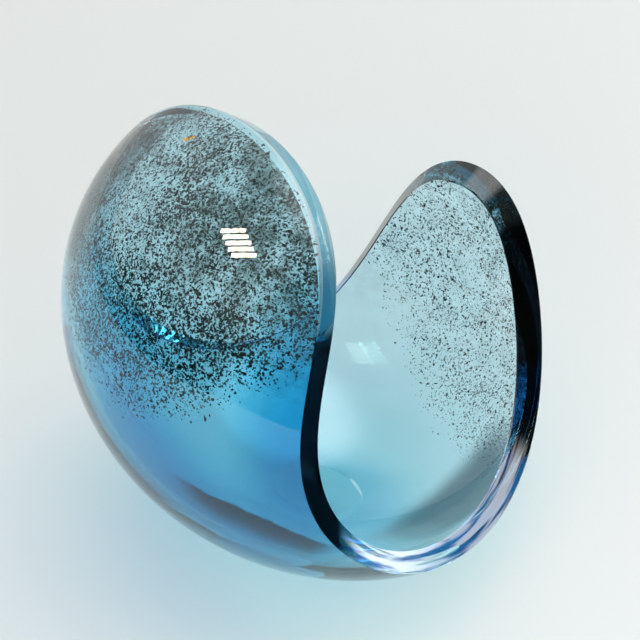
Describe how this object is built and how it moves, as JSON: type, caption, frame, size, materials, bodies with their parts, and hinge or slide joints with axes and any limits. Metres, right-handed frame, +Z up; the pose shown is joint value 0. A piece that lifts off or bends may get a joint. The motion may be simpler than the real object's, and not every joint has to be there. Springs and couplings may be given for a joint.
{
  "type": "glass sphere sculpture",
  "caption": "Hollow ball of cased blue glass, cut open along a winding seam into a taller left lobe and a lower right lobe on one neck, with a dark speckled upper part and a flat ground foot.",
  "frame": {"origin": "on the table, under the middle of the object's bounding box", "axes": "+Z up, -Y toward the front, +X to the right seen from the front; the front-right opening faces +X -Y"},
  "size_m": [0.1952, 0.2146, 0.1914],
  "materials": {
    "blue_glass": "fire polished outside, flat polished at the cut",
    "aqua_glass": "fire polished in the hollow, flat polished at the cut",
    "crushed_glass": "black and rust crushed glass, melted in"
  },
  "bodies": {
    "root": {"blue_glass_casing": "blue_glass", "aqua_glass_wall": "aqua_glass", "left_lobe_specks": "crushed_glass", "right_lobe_specks": "crushed_glass"}
  },
  "joints": []
}
